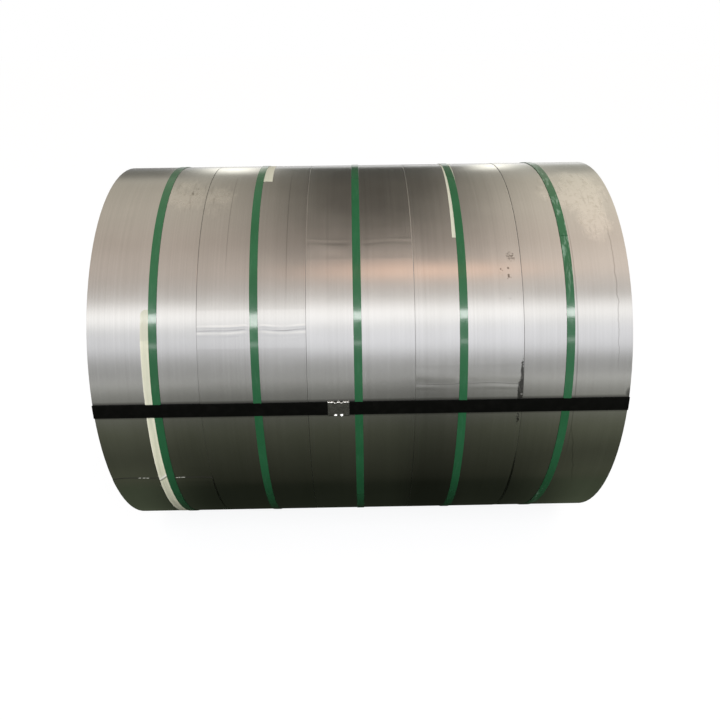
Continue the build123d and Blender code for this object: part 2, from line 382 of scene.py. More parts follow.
specks = fade(tree, sums(tree, "SUBTRACT", cells.outputs["Distance"], reach), 0.0, -0.12)
dirt = sums(tree, "MAXIMUM", dirt, specks)
colour = tint(tree, times(tree, dirt, 0.75), colour, (0.12, 0.10, 0.075, 1))
# Grease smeared at the joint beside it, and painted shade along the eye strap
smear = speckle(tree, spot, (1, 0.1, 0.1), 200.0, 5.0, 0.75, (4, 4, 1))
grease = heaped([patch_at(0.3682, 9.0, 0.009, 4.8), patch_at(0.3715, 11.8, 0.0055, 8.6),
                 times(tree, patch_at(0.3672, 1.0, 0.006, 2.6), 0.58)])
strokes = speckle(tree, spot, (0.45, 1, 1), 420.0, 2.0, 0.6, (7, 2, 6))
streaks = scaled(tree, strokes, 2.2, scaled(tree, smear, 1.5, grease))
streaks = fade(tree, streaks, 2.34, 2.62)
grease = times(tree, streaks, fade(tree, grease, 0.0, 0.14))
colour = tint(tree, times(tree, grease, 0.9), colour, (0.045, 0.045, 0.04, 1))
rough = blend(tree, grease, rough, 0.36)
# Painted shade: a soft dark line on the metal along both edges of the eye strap, for the strap's shadow and
# reflection, and a dark patch at the right end just above the strap
strap_shade_line = apart(tree, where["Angle"], 5.1)
painted_strap_shade = heaped([fade(tree, strap_shade_line, 2.75, 1.9, 0.0, 0.6),
                       times(tree, patch_at(0.6247, 7.6, 0.012, 2.6), 0.7)])
colour = tint(tree, painted_strap_shade, colour, (0.05, 0.05, 0.045, 1))
# Long scratches that a guide left on the second and fifth coils, and oil in two joints low down
wander = scaled(tree, speckle(tree, spot, (0, 1, 1), 28.0, 3.0, 0.6), 0.012, -0.006)
wavering = sums(tree, "ADD", where["Along"], wander)
slanting = scaled(tree, where["Angle"], 0.0017, wavering)
scratch = heaped([patch_at(0.592, 36.0, 0.002, 26.0, wavering),
                  patch_at(0.4955, -12.0, 0.002, 15.0, slanting),
                  patch_at(0.4975, 24.0, 0.0022, 44.0), patch_at(-0.31, 62.0, 0.0014, 25.0),
                  patch_at(-0.17, 58.0, 0.0014, 30.0), patch_at(0.482, 52.0, 0.0012, 24.0)])
colour = tint(tree, times(tree, fade(tree, scratch, 0.0, 0.6), 0.3), colour, (0.16, 0.155, 0.14, 1))
oil = heaped([patch_at(0.3748, -30.0, 0.0038, 24.0), patch_at(-0.3748, -32.0, 0.0025, 18.0)])
colour = tint(tree, times(tree, fade(tree, oil, 0.0, 0.6), 0.8), colour, (0.04, 0.04, 0.035, 1))
tree.links.new(colour, shader.inputs["Base Color"])
tree.links.new(rough, shader.inputs["Roughness"])
shader.inputs["Metallic"].default_value = 1.0

slit_edge, tree, shader, spot = new_material("slit_edges")
where = use_group(tree, on_bundle, Vector=spot)
ring = place(tree, "ShaderNodeCombineXYZ", [where["Radius"], 0.0, 0.0]).outputs[0]
rings = speckle(tree, ring, (1, 1, 1), 420.0, 2.0, 0.6)
groups_of_turns = speckle(tree, ring, (1, 1, 1), 46.0, 2.0, 0.5, (5, 0, 0))
tone = scaled(tree, rings, 0.6, times(tree, groups_of_turns, 0.5))
tree.links.new(tint(tree, fade(tree, tone, 0.3, 0.8), (0.30, 0.30, 0.29, 1), (0.60, 0.60, 0.59, 1)),
               shader.inputs["Base Color"])
tree.links.new(blend(tree, groups_of_turns, 0.34, 0.52), shader.inputs["Roughness"])
shader.inputs["Metallic"].default_value = 1.0

# The sheared tails are painted very dark, for a dull cut face and the shade in the gap beside it. Where the
# first coil's tail stands clear beside the band, it has painted highlights: short bright dashes where its
# edge catches the light
sheared, tree, shader, spot = new_material("sheared_tail")
where = use_group(tree, on_bundle, Vector=spot)
# Painted highlights along the first coil's cut edge
painted_edge_glints = heaped([patch_at(-0.556, -19.0, 0.004, 9.0), patch_at(-0.541, -19.0, 0.009, 9.0),
                patch_at(-0.455, -19.0, 0.014, 9.0)])
painted_edge_glints = times(tree, fade(tree, painted_edge_glints, 0.0, 0.4), fade(tree, speckle(tree, spot, (1, 0, 0), 160.0), 0.35, 0.5))
tree.links.new(tint(tree, painted_edge_glints, (0.05, 0.05, 0.045, 1), (0.50, 0.51, 0.47, 1)), shader.inputs["Base Color"])
tree.links.new(blend(tree, painted_edge_glints, 0.45, 0.3), shader.inputs["Roughness"])
shader.inputs["Metallic"].default_value = 1.0

for number in range(1, 6):
    coil = wind_coil(number)
    coil.data.materials.append(zinc)
    coil.data.materials.append(slit_edge)
    coil.data.materials.append(sheared)
    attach(coil, "root")
    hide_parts(f"slit_coil_{number}")

# Paper tapes: cream crepe masking tape, 25 mm wide, stuck along the last turn before banding.
# Each is two thin plies, the second shorter, and the first coil's has a crease's highlight and shade painted
# where it bridges the tail.
# Place on the coil, lower and upper ends, tilt, inner end of the second ply, and sideways wander low down
TAPES = {1: (0.002, -58.0, 32.5, -1.33, 24.0, 0.004), 2: (0.014, 77.3, 112.0, 2.0, 84.0, 0.0),
         4: (-0.0117, 51.5, 108.0, -1.4, 59.5, 0.0)}
TAPE = 0.025
PLY = 0.00009
TAPE_SEAT = 0.00002
TAPE_PUCKER = 0.00002
SECOND_PLY_WIDTH = 0.96
# In degrees: how far the first tape's torn end reaches down, and where and over what arc it wanders sideways
TORN_REACH = 6
WANDER_BELOW = 24
WANDER_EASE = 16


def taut_face(angle, tail):
    """Radius of what lies taut on a coil: its round face, with a straight bridge over the tail's step."""
    bridge = degrees(acos((COIL - GAUGE) / COIL))
    past = (angle - tail) % 360
    if past < bridge:
        return (COIL - GAUGE) / cos(radians(bridge - past))
    return round_face(angle, tail)


def lay_tape(number):
    """A tape's plies, spun round the coil from their upper ends and then laid on its face."""
    middle, low, high, tilt, second, wander = TAPES[number]
    middle += coil_middle(number)
    mid_angle = (low + high) / 2
    bm = bmesh.new()
    across = bm.verts.layers.float.new("across")
    # On the first coil the second ply is the lower one, elsewhere the upper one
    second_span = (low, second) if number == 1 else (second, high)
    for ply, (start, end) in enumerate(((low, high), second_span)):
        width = TAPE * (1.0 if ply == 0 else SECOND_PLY_WIDTH)
        ends = [bm.verts.new(around(middle + side * width / 2, COIL, end)) for side in (-1, 1)]
        edge = bm.edges.new(ends)
        bmesh.ops.subdivide_edges(bm, edges=[edge], cuts=9)
        row = [v for v in bm.verts if not v.link_faces] + [e for e in bm.edges if not e.link_faces]
        before = set(bm.verts) - {v for v in row if isinstance(v, bmesh.types.BMVert)}
        bmesh.ops.spin(bm, geom=row, cent=AXIS, axis=(1, 0, 0), angle=radians(end - start),
                       steps=round((end - start) / 0.5), use_merge=False, use_duplicate=False)
        laid = [v for v in bm.verts if v not in before]
        for vert in laid:
            _, angle = polar(vert.co)
            vert[across] = (vert.co.x - middle) / width
            ragged = 0.0
            if min(abs(angle - start), abs(angle - end)) < 0.01:
                ragged = 0.16 * noise.noise((vert.co.x * 260, ply * 3.1, number))
            if number == 1 and ply == 0:
                torn = max(0.0, 1 - (high - angle) / TORN_REACH)
                ragged -= torn * (0.4 + 1.1 * max(0.0, -2 * vert[across]) ** 3)
            pucker = TAPE_PUCKER * noise.noise((vert.co.x * 60, angle * 0.9, number + 5.0 * ply))
            radius = taut_face(angle, TAILS[number - 1]) + TAPE_SEAT + PLY * ply + pucker
            shift = -COIL * sin(radians(angle - mid_angle)) * sin(radians(tilt)) / cos(radians(tilt))
            drift = 0.0006 * noise.noise((angle * 0.05, ply * 9.0, number))
            drift += wander * min(1.0, max(0.0, (WANDER_BELOW - angle) / WANDER_EASE))
            vert.co = around(vert.co.x + shift + drift, radius, angle + ragged)
        bmesh.ops.recalc_face_normals(bm, faces=bm.faces)
    for face in bm.faces:
        middle_point = face.calc_center_median()
        if face.normal.dot(Vector((0, middle_point.y, middle_point.z - AXIS.z))) < 0:
            face.normal_flip()
    bmesh.ops.solidify(bm, geom=bm.faces[:], thickness=-PLY)
    bmesh.ops.recalc_face_normals(bm, faces=bm.faces)
    return to_object(f"tape_{number}_paper", bm, 38)


crepe, tree, shader, spot = new_material("crepe_paper")
where = use_group(tree, on_bundle, Vector=spot)
arc = place(tree, "ShaderNodeCombineXYZ", [times(tree, where["Along"], 0.25),
                                           times(tree, where["Angle"], METRES_PER_DEGREE), 0.0]).outputs[0]
ribs = speckle(tree, arc, (1, 1, 1), 900.0, 2.0, 0.55)
across = place(tree, "ShaderNodeAttribute", attribute_name="across").outputs["Fac"]
lengthwise = place(tree, "ShaderNodeCombineXYZ", [times(tree, across, 3.5),
                                                  times(tree, where["Angle"], 0.06), 0.0]).outputs[0]
rucks = speckle(tree, lengthwise, (1, 1, 1), 1.6, 3.0, 0.6)
stain = speckle(tree, spot, (1, 1, 1), 26.0, 3.0, 0.6)
paper = tint(tree, fade(tree, stain, 0.35, 0.75), (0.92, 0.92, 0.70, 1), (0.84, 0.84, 0.62, 1))
paper = tint(tree, times(tree, fade(tree, ribs, 0.4, 0.65), 0.3), paper, (0.94, 0.94, 0.78, 1))
# It is greyer along its middle, where it sticks to the metal, and paler at its edges
stuck = fade(tree, apart(tree, across, -0.12), 0.36, 0.08)
stuck = times(tree, stuck, fade(tree, rucks, 0.25, 0.6))
paper = tint(tree, times(tree, stuck, 0.55), paper, (0.56, 0.60, 0.45, 1))
at_edge = fade(tree, sums(tree, "ABSOLUTE", across), 0.40, 0.47, 0.0, 0.5)
paper = tint(tree, at_edge, paper, (1.0, 1.0, 0.86, 1))
# Higher up it is greyer, the more so above the end of the first coil's second ply
greyer = fade(tree, where["Angle"], -14.0, 16.0, 0.0, 0.56)
greyer = sums(tree, "ADD", greyer, fade(tree, where["Angle"], 23.7, 24.3, 0.0, 0.25))
paper = tint(tree, greyer, paper, (0.50, 0.51, 0.43, 1))
# Painted highlight and shade of a crease where the first coil's tape goes down over the tail: a pale line
# above it and a dark line below it
off_tail = scaled(tree, where["Along"], -95.0, -48.3)
off_tail = sums(tree, "ADD", off_tail, sums(tree, "ADD", where["Angle"], 20.0))
for above, reach, shade in ((0.35, 0.75, (1.0, 1.0, 0.92, 1)), (-0.3, 0.5, (0.26, 0.27, 0.20, 1))):
    crease_light_and_shade = fade(tree, apart(tree, off_tail, above), reach, 0.1, 0.0, 0.85)
    paper = tint(tree, crease_light_and_shade, paper, shade)
tree.links.new(paper, shader.inputs["Base Color"])
tree.links.new(blend(tree, ribs, 0.6, 0.85), shader.inputs["Roughness"])
bump = place(tree, "ShaderNodeBump", {"Strength": 0.35, "Distance": 0.0003, "Height": ribs})
tree.links.new(bump.outputs[0], shader.inputs["Normal"])
shader.inputs["Specular IOR Level"].default_value = 0.3
shader.inputs["Coat Weight"].default_value = 0.16
shader.inputs["Coat Roughness"].default_value = 0.12

tapes = []
for number in TAPES:
    tape = lay_tape(number)
    tapes.append(tape)
    tape.data.materials.append(crepe)
    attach(tape, "root")
    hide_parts(f"tape_{number}")

# Bands: extruded green plastic, 19 by 1 mm, drawn tight round each coil and friction-welded to itself.
# The outer ply of the lap is cut off square and lies on the ring, with the weld's ribs pressed into it.
BAND = 0.019
BAND_PLY = 0.001
BAND_SEAT = 0.00025
BAND_LAP = degrees(0.120 / (COIL + BAND_SEAT + BAND_PLY))
# Bevel of the edges, and how much narrower the lap's outer ply is on each side
BAND_SOFT = 0.00028
LAP_TRIM = 0.0004
# The weld: degrees from the cut end to it, its length and rib spacing in degrees, its depth and its ribs'
WELD_FROM = 2.0
WELD_SPAN = 3.4
WELD_PITCH = 0.4
WELD_DEPTH = 0.00022
WELD_RIB = 0.00012


def pull_band(number):
    """A band's ring and the outer ply of its lap, spun round and then drawn onto the coil's face."""
    tail = TAILS[number - 1]
    lap_end = BANDS[number - 1][3]
    bm = bmesh.new()
    for ply, (end, sweep, steps) in enumerate(((0.0, 360.0, 240), (lap_end + BAND_LAP, BAND_LAP, 60))):
        low = COIL + BAND_SEAT + ply * BAND_PLY
        before = set(bm.verts)
        half = BAND / 2 - LAP_TRIM * ply
        flat, top = half - BAND_SOFT, BAND_PLY - BAND_SOFT
        profile = ((-flat, 0), (flat, 0), (half, BAND_SOFT), (half, top),
                   (flat, BAND_PLY), (-flat, BAND_PLY), (-half, top), (-half, BAND_SOFT))
        ring = [bm.verts.new(around(x, low + r, end)) for x, r in profile]
        loop = [bm.edges.new((a, b)) for a, b in zip(ring, ring[1:] + ring[:1])]
        spun = bmesh.ops.spin(bm, geom=ring + loop, cent=AXIS, axis=(1, 0, 0), angle=radians(sweep),
                              steps=steps, use_merge=ply == 0, use_duplicate=False)
        if ply:
            tip = [e for e in spun["geom_last"] if isinstance(e, bmesh.types.BMEdge)]
            bmesh.ops.edgeloop_fill(bm, edges=loop)
            bmesh.ops.edgeloop_fill(bm, edges=tip)
        for vert in bm.verts:
            if vert not in before:
                radius, angle = polar(vert.co)
                moved = radius - COIL + taut_face(angle, tail)
                if ply:
                    weld = (angle - lap_end) % 360 - WELD_FROM
                    if 0 < weld < WELD_SPAN and radius > low + BAND_PLY / 2:
                        moved -= WELD_DEPTH + WELD_RIB * cos(radians(weld * 360 / WELD_PITCH))
                vert.co = around(band_middle(number, angle) + vert.co.x, moved, angle)
    bmesh.ops.recalc_face_normals(bm, faces=bm.faces)
    return to_object(f"band_{number}_strap", bm, 30)


green, tree, shader, spot = new_material("green_plastic")
drawn = speckle(tree, spot, (1, 0.004, 0.004), 1500.0, 2.0, 0.6)
slow = speckle(tree, spot, (0.4, 1, 1), 9.0, 2.0, 0.5)
rub = speckle(tree, spot, (5, 1, 1), 30.0, 4.0, 0.65, (2, 8, 5))
where = use_group(tree, on_bundle, Vector=spot)
chafed = heaped([patch_at(0.478, 62.0, 0.05, 34.0), times(tree, patch_at(0.474, -34.0, 0.05, 11.0), 0.6)])
plastic = tint(tree, fade(tree, slow, 0.3, 0.7), (0.017, 0.102, 0.040, 1), (0.022, 0.122, 0.050, 1))
worn = times(tree, fade(tree, rub, 0.5, 0.72), scaled(tree, chafed, 0.8, 0.04))
plastic = tint(tree, worn, plastic, (0.26, 0.40, 0.31, 1))
tree.links.new(plastic, shader.inputs["Base Color"])
tree.links.new(scaled(tree, drawn, 0.08, scaled(tree, rub, 0.16, 0.05)),
               shader.inputs["Roughness"])
bump = place(tree, "ShaderNodeBump", {"Strength": 0.06, "Distance": 0.0001, "Height": drawn})
tree.links.new(bump.outputs[0], shader.inputs["Normal"])
shader.inputs["Specular IOR Level"].default_value = 0.2
shader.inputs["Coat Weight"].default_value = 0.45
shader.inputs["Coat Roughness"].default_value = 0.08

bands = []
for number in range(1, 6):
    band = pull_band(number)
    band.data.materials.append(green)
    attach(band, "root")
    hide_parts(f"band_{number}")
    bands.append(band)

# Eye strap: black painted steel, 32 by 0.8 mm. It runs along the front over the bands, bends over
# both ends of the bundle and comes back along the bore. Its two ends lap under the seal.
EYE_ANGLE = 5.0
STRAP = 0.032
STRAP_PLY = 0.0008
STRAP_SEAT = 0.0003
STRAP_BEND = 0.0008
STRAP_LAP = 0.104
SEAL_X = -0.054
REST = COIL + BAND_SEAT + BAND_PLY + STRAP_SEAT
BUNDLE = 4 * COIL_PITCH + STRIP
ACROSS = around(0, 1, EYE_ANGLE + 90) - AXIS


def bend_strap():
    """The strap's loop and its lapped end, spun wider than the strap and then cut to its width."""
    spread = degrees(asin(0.75 * STRAP / (BORE - STRAP_SEAT)))
    end, low = BUNDLE / 2 + STRAP_SEAT, BORE - STRAP_SEAT
    bm = bmesh.new()
    for lift in (0.0, STRAP_PLY):
        # First the loop's section, with its rounded corners, then that of the end that laps over it
        rims = []
        for out in (0.0, STRAP_PLY):
            if lift:
                tips = (SEAL_X - STRAP_LAP / 2, SEAL_X + STRAP_LAP / 2)
                outline = [bm.verts.new(around(x, REST + lift + out, EYE_ANGLE - spread)) for x in tips]
                rims.append(bm.edges.new(outline))
                continue
            bend = STRAP_BEND + out
            outline = []
            for x, r, turn in ((end + out, REST + out, 0), (-end - out, REST + out, 90),
                               (-end - out, low - out, 180), (end + out, low - out, 270)):
                centre_x = x - bend if x > 0 else x + bend
                centre_r = r - bend if r > COIL else r + bend
                for step in range(5):
                    a = radians(turn + step * 22.5)
                    corner = around(centre_x + bend * cos(a), centre_r + bend * sin(a), EYE_ANGLE - spread)
                    outline.append(bm.verts.new(corner))
            rims += [bm.edges.new(pair) for pair in zip(outline, outline[1:] + outline[:1])]
        sides = bmesh.ops.bridge_loops(bm, edges=rims)["faces"]
        section = sides + list({e for f in sides for e in f.edges})
        section += list({v for f in sides for v in f.verts})
        bmesh.ops.spin(bm, geom=section, cent=AXIS, axis=(-1, 0, 0), angle=radians(2 * spread), steps=16,
                       use_merge=False, use_duplicate=False)
    bmesh.ops.recalc_face_normals(bm, faces=bm.faces)
    for way in (1, -1):
        everything = bm.verts[:] + bm.edges[:] + bm.faces[:]
        bmesh.ops.bisect_plane(bm, geom=everything, plane_co=AXIS + way * STRAP / 2 * ACROSS,
                               plane_no=way * ACROSS, clear_outer=True)
        open_edges = [e for e in bm.edges if e.is_boundary]
        bmesh.ops.holes_fill(bm, edges=open_edges, sides=0)
    bmesh.ops.recalc_face_normals(bm, faces=bm.faces)
    return to_object("eye_strap_steel", bm, 40)


black, tree, shader, spot = new_material("black_paint")
grain = speckle(tree, spot, (0.02, 1, 1), 900.0, 2.0, 0.6)
dust = speckle(tree, spot, (1, 1, 1), 60.0, 3.0, 0.6)
tree.links.new(tint(tree, fade(tree, dust, 0.4, 0.8), (0.0022, 0.0024, 0.002, 1), (0.004, 0.0042, 0.0036, 1)),
               shader.inputs["Base Color"])
tree.links.new(scaled(tree, grain, 0.1, scaled(tree, dust, 0.2, 0.32)),
               shader.inputs["Roughness"])
shader.inputs["Specular IOR Level"].default_value = 0.07
strap = bend_strap()
strap.data.materials.append(black)
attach(strap, "root")
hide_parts("eye_strap")

# Seal: a zinc-plated sheet sleeve folded round the strap's two ends, then notched by the sealer's jaws.
# The jaws cut both edges twice, turn the lower lips out and push the upper edge in, which locks the plies.
SEAL = 0.050
SEAL_WALL = 0.0009
SEAL_SIDE_GAP = 0.0016
SEAL_SEAT = 0.0001
SEAL_HEIGHT = 0.00385
SEAL_FOLD = 0.0012
SEAL_HALF = STRAP / 2 + SEAL_SIDE_GAP + SEAL_WALL
SEAL_ROOF = REST + 2 * STRAP_PLY + SEAL_SEAT + SEAL_WALL
SEAL_BASE = SEAL_ROOF - SEAL_HEIGHT
SEAL_MOUTH = 0.006
NOTCHES = (-0.007, 0.007)
NOTCH_HALF = 0.005
# Across the seal: where the lower lips begin, where the upper edge rolls over and where the jaws push it in
LIP_FROM = 0.013
LIP_RISE = 0.00155
ROLL_FROM = 0.0158
ROLL_DROP = 0.00115
PUSH_FROM = 0.0105
PUSH_EASE = 0.0075
PUSH = 0.0024
OUTWARD = around(0, 1, EYE_ANGLE) - AXIS


def fold_seal():
    """The sleeve, made flat in x along the strap, y across it and z outwards, then laid on the coil."""
    bm = bmesh.new()
    corners = [bm.verts.new((-SEAL / 2, y, z)) for y, z in (
        (-SEAL_MOUTH, SEAL_BASE), (-SEAL_HALF, SEAL_BASE), (-SEAL_HALF, SEAL_ROOF),
        (SEAL_HALF, SEAL_ROOF), (SEAL_HALF, SEAL_BASE), (SEAL_MOUTH, SEAL_BASE))]
    folds = [bm.edges.new((a, b)) for a, b in zip(corners, corners[1:])]
    bmesh.ops.spin(bm, geom=corners + folds, cent=(0, 0, 0), axis=(0, 0, 1), dvec=(SEAL, 0, 0), angle=0.0,
                   steps=1, use_merge=False, use_duplicate=False)

    def lengthwise():
        return [e for e in bm.edges if abs(e.verts[0].co.x - e.verts[1].co.x) > SEAL / 2]

    creases = [e for e in lengthwise() if len(e.link_faces) == 2]
    bmesh.ops.bevel(bm, geom=creases, offset=SEAL_FOLD, offset_type="OFFSET", affect="EDGES", segments=3,
                    profile=0.5, material=-1)
    bmesh.ops.subdivide_edges(bm, edges=lengthwise(), cuts=59, use_grid_fill=True)
    crosswise = [e for e in bm.edges if abs(e.verts[0].co.y - e.verts[1].co.y) > SEAL_HALF]
    bmesh.ops.subdivide_edges(bm, edges=crosswise, cuts=27, use_grid_fill=True)

    def bite(x):
        """How deep the jaws bit at a place along the seal, from 0 to 1."""
        return max(min(1.0, 1.5 * max(0.0, 1 - ((x - notch) / NOTCH_HALF) ** 2) ** 2) for notch in NOTCHES)

    # The jaws cut the side walls and the folded rims away, turn the lower lips out and push the upper edge in
    torn = []
    for face in bm.faces:
        centre = face.calc_center_median()
        if bite(centre.x) > 0.4 and centre.z < SEAL_ROOF - 0.0011:
            torn.append(face)
    bmesh.ops.delete(bm, geom=torn, context="FACES")
    for vert in bm.verts:
        x, y, z = vert.co
        deep = bite(x)
        on_roof = z > SEAL_ROOF - 0.0016
        if y < -LIP_FROM and on_roof:
            lip = (-y - LIP_FROM) / (SEAL_HALF - LIP_FROM)
            vert.co.y = -LIP_FROM - (-y - LIP_FROM) * (1 - 0.25 * deep)
            vert.co.z += deep * (LIP_RISE * (0.55 * lip + 0.45 * lip * lip) + (SEAL_ROOF - z))
        elif y > 0:
            rolled_over = min(1.0, max(0.0, (y - ROLL_FROM) / (SEAL_HALF - ROLL_FROM)))
            if on_roof:
                vert.co.z -= ROLL_DROP * (0.33 * rolled_over + 0.67 * rolled_over * rolled_over)
            vert.co.y -= PUSH * deep * min(1.0, max(0.0, (y - PUSH_FROM) / PUSH_EASE))
    bmesh.ops.recalc_face_normals(bm, faces=bm.faces)
    roof = max(bm.faces, key=lambda f: f.calc_center_median().z - abs(f.calc_center_median().y))
    if roof.normal.z < 0:
        bmesh.ops.reverse_faces(bm, faces=bm.faces)
    bmesh.ops.solidify(bm, geom=bm.faces[:], thickness=SEAL_WALL)
    for vert in bm.verts:
        x, y, z = vert.co
        vert.co = AXIS + Vector((SEAL_X + x, 0, 0)) + ACROSS * y + OUTWARD * z
    return to_object("strap_seal_sleeve", bm, 45)


plated, tree, shader, spot = new_material("plated_seal")
where = use_group(tree, on_bundle, Vector=spot)
scratches = speckle(tree, spot, (0.06, 1, 1), 1400.0, 2.0, 0.6)
cloud = speckle(tree, spot, (1, 1, 1), 120.0, 3.0, 0.6)
metal = tint(tree, fade(tree, cloud, 0.3, 0.75), (0.22, 0.22, 0.205, 1), (0.29, 0.29, 0.27, 1))
# The jaws burnished the lips, and handling the rolled-over edge; both are painted brighter still, as painted
# highlights where the lips and the edge catch the light
burnish_and_glints = [patch_at(SEAL_X + notch, 3.2, 0.006, 0.45) for notch in NOTCHES]
burnish_and_glints = heaped(burnish_and_glints + [fade(tree, where["Angle"], 6.72, 6.95, 0.0, 0.17)])
metal = tint(tree, fade(tree, burnish_and_glints, 0.0, 0.5), metal, (0.88, 0.88, 0.86, 1))
tree.links.new(metal, shader.inputs["Base Color"])
tree.links.new(scaled(tree, scratches, 0.1, scaled(tree, cloud, 0.12, 0.15)),
               shader.inputs["Roughness"])
shader.inputs["Metallic"].default_value = 1.0
seal = fold_seal()
seal.data.materials.append(plated)
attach(seal, "root")
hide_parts("strap_seal")

# Studio: a pale floor, the soft light of a long hall with two rows of windows in front, and a dark
# card that only mirrors in the metal, as a photographer lays one before a bright cylinder.
FLOOR = 60.0
CARD = 40.0
CARD_HEIGHT = 0.001
floor_mesh = bpy.data.meshes.new("floor")
bm = bmesh.new()
bmesh.ops.create_circle(bm, cap_ends=True, radius=FLOOR, segments=64)
bm.to_mesh(floor_mesh)
bm.free()
floor = bpy.data.objects.new("floor", floor_mesh)
bpy.context.scene.collection.objects.link(floor)
floor_paint, tree, shader, spot = new_material("pale_floor")
shader.inputs["Base Color"].default_value = (0.17, 0.172, 0.176, 1)
shader.inputs["Roughness"].default_value = 0.9
shader.inputs["Specular IOR Level"].default_value = 0.0
ray = place(tree, "ShaderNodeLightPath").outputs
mirrored = sums(tree, "ADD", ray["Is Glossy Ray"], ray["Is Transmission Ray"])
seen = sums(tree, "ADD", ray["Is Camera Ray"], mirrored)
shader.inputs["Emission Color"].default_value = (0.884, 0.887, 0.892, 1)
tree.links.new(sums(tree, "MINIMUM", seen, 1.0), shader.inputs["Emission Strength"])
floor.data.materials.append(floor_paint)

card_mesh = bpy.data.meshes.new("dark_card")
bm = bmesh.new()
raised = Matrix.Translation((0, 0, CARD_HEIGHT))
bmesh.ops.create_circle(bm, cap_ends=True, radius=CARD, segments=64, matrix=raised)
bm.to_mesh(card_mesh)
bm.free()
card = bpy.data.objects.new("dark_card", card_mesh)
bpy.context.scene.collection.objects.link(card)
card_paint = bpy.data.materials.new("dark_card")
card_paint.use_nodes = True
tree = card_paint.node_tree
tree.nodes.remove(tree.nodes["Principled BSDF"])
spot = place(tree, "ShaderNodeTexCoord").outputs["Object"]
flat = place(tree, "ShaderNodeSeparateXYZ", [spot]).outputs
away = sums(tree, "SUBTRACT", sums(tree, "ABSOLUTE", flat["Y"]), 0.5)
gleam = place(tree, "ShaderNodeValToRGB", [times(tree, away, 0.1)])
ramp = gleam.color_ramp
ramp.elements[0].position, ramp.elements[0].color = 0.0, (0.0145, 0.0175, 0.011, 1)
ramp.elements[1].position, ramp.elements[1].color = 1.0, (0.44, 0.44, 0.42, 1)
GLEAMS = ((0.003, (0.0245, 0.0268, 0.0177)), (0.07, (0.075, 0.08, 0.056)), (0.24, (0.20, 0.20, 0.185)))
for position, colour in GLEAMS:
    ramp.elements.new(position).color = colour + (1,)
# It brightens towards the bundle's ends, has a shade right of the middle, and is pale beyond the ends
mirrored_at = sums(tree, "DIVIDE", flat["X"], scaled(tree, sums(tree, "MAXIMUM", away, 0.0), 0.52, 1.17))
near_end = fade(tree, sums(tree, "ABSOLUTE", mirrored_at), 0.36, 0.57)
at_corner = fade(tree, sums(tree, "ABSOLUTE", mirrored_at), 0.46, 0.58)
level = scaled(tree, at_corner, fade(tree, away, 0.0, 0.03, 1.2, 0.0), 1.0)
level = scaled(tree, near_end, fade(tree, away, -0.05, 0.3, 2.1, 0.38), level)
shade = fade(tree, apart(tree, mirrored_at, 0.172), 0.1, 0.03, 0.0, 0.36)
to_right = times(tree, fade(tree, mirrored_at, 0.26, 0.45, 0.0, 0.2), fade(tree, away, 0.12, 0.6))
level = times(tree, level, sums(tree, "ADD", 1.0, to_right))
level = times(tree, level, sums(tree, "SUBTRACT", 1.0, shade))
beyond = sums(tree, "DIVIDE", sums(tree, "SUBTRACT", sums(tree, "ABSOLUTE", flat["X"]), 0.65),
              sums(tree, "ADD", sums(tree, "ABSOLUTE", flat["Y"]), 0.3))
beyond = fade(tree, beyond, 0.55, 1.1)
gleam = tint(tree, beyond, gleam.outputs[0], (0.5, 0.5, 0.49, 1))
glow = place(tree, "ShaderNodeEmission", {"Color": gleam, "Strength": blend(tree, beyond, level, 1.0)})
tree.links.new(glow.outputs[0], tree.nodes["Material Output"].inputs["Surface"])
card.data.materials.append(card_paint)
card.visible_camera = card.visible_diffuse = card.visible_shadow = card.visible_transmission = False

world = bpy.data.worlds.new("hall")
bpy.context.scene.world = world
world.use_nodes = True
tree = world.node_tree
towards = place(tree, "ShaderNodeTexCoord").outputs["Generated"]
sky = place(tree, "ShaderNodeSeparateXYZ", [towards]).outputs
# Degrees from the front horizon over the top to the back horizon
turn = sums(tree, "ARCTAN2", sky["Z"], times(tree, sky["Y"], -1.0))
arch = sums(tree, "DEGREES", sums(tree, "ABSOLUTE", turn))
shades = place(tree, "ShaderNodeValToRGB", [sums(tree, "DIVIDE", arch, 180.0)])
HALL = ((0, 0.42, 0.42, 0.41), (30, 0.58, 0.58, 0.58), (49, 0.77, 0.72, 0.68), (64, 0.69, 0.60, 0.53),
        (84, 0.45, 0.385, 0.33), (105, 0.36, 0.32, 0.27), (140, 0.29, 0.265, 0.22), (170, 0.28, 0.28, 0.25),
        (174, 0.95, 0.95, 0.94), (180, 0.98, 0.98, 0.98))
ramp = shades.color_ramp
for index, (angle, *colour) in enumerate(HALL):
    stop = ramp.elements.new(angle / 180) if 0 < index < len(HALL) - 1 else ramp.elements[index]
    stop.position = angle / 180
    stop.color = (*colour, 1)
# Overhead and behind, the hall is dark in the middle and pale towards its sides, more so on the right.
# Far back it darkens again at both sides.
aside = fade(tree, apart(tree, sky["X"], 0.035), 0.05, 0.30, 0.3, 2.4)
overhead = place(tree, "ShaderNodeMapRange", [arch, 50.0, 112.0, 0.0, 1.0]).outputs[0]
horizon = fade(tree, arch, 170.0, 174.0, 1.0, 0.0)
leaning = place(tree, "ShaderNodeMapRange", [sky["X"], -0.35, 0.35, 1.0, 1.22]).outputs[0]
leftward = place(tree, "ShaderNodeMapRange", [sky["X"], -0.3, 0.1, 0.74, 1.0]).outputs[0]
far_back = fade(tree, arch, 146.0, 158.0)
on_left = fade(tree, sky["X"], -0.26, -0.19, 0.38, 1.0)
on_right = fade(tree, sky["X"], 0.23, 0.30, 1.0, 0.55)
share = blend(tree, times(tree, overhead, horizon), 1.0, times(tree, aside, leaning))
share = times(tree, share, blend(tree, fade(tree, arch, 46.0, 62.0), 1.0, leftward))
share = times(tree, share, blend(tree, far_back, 1.0, on_left))
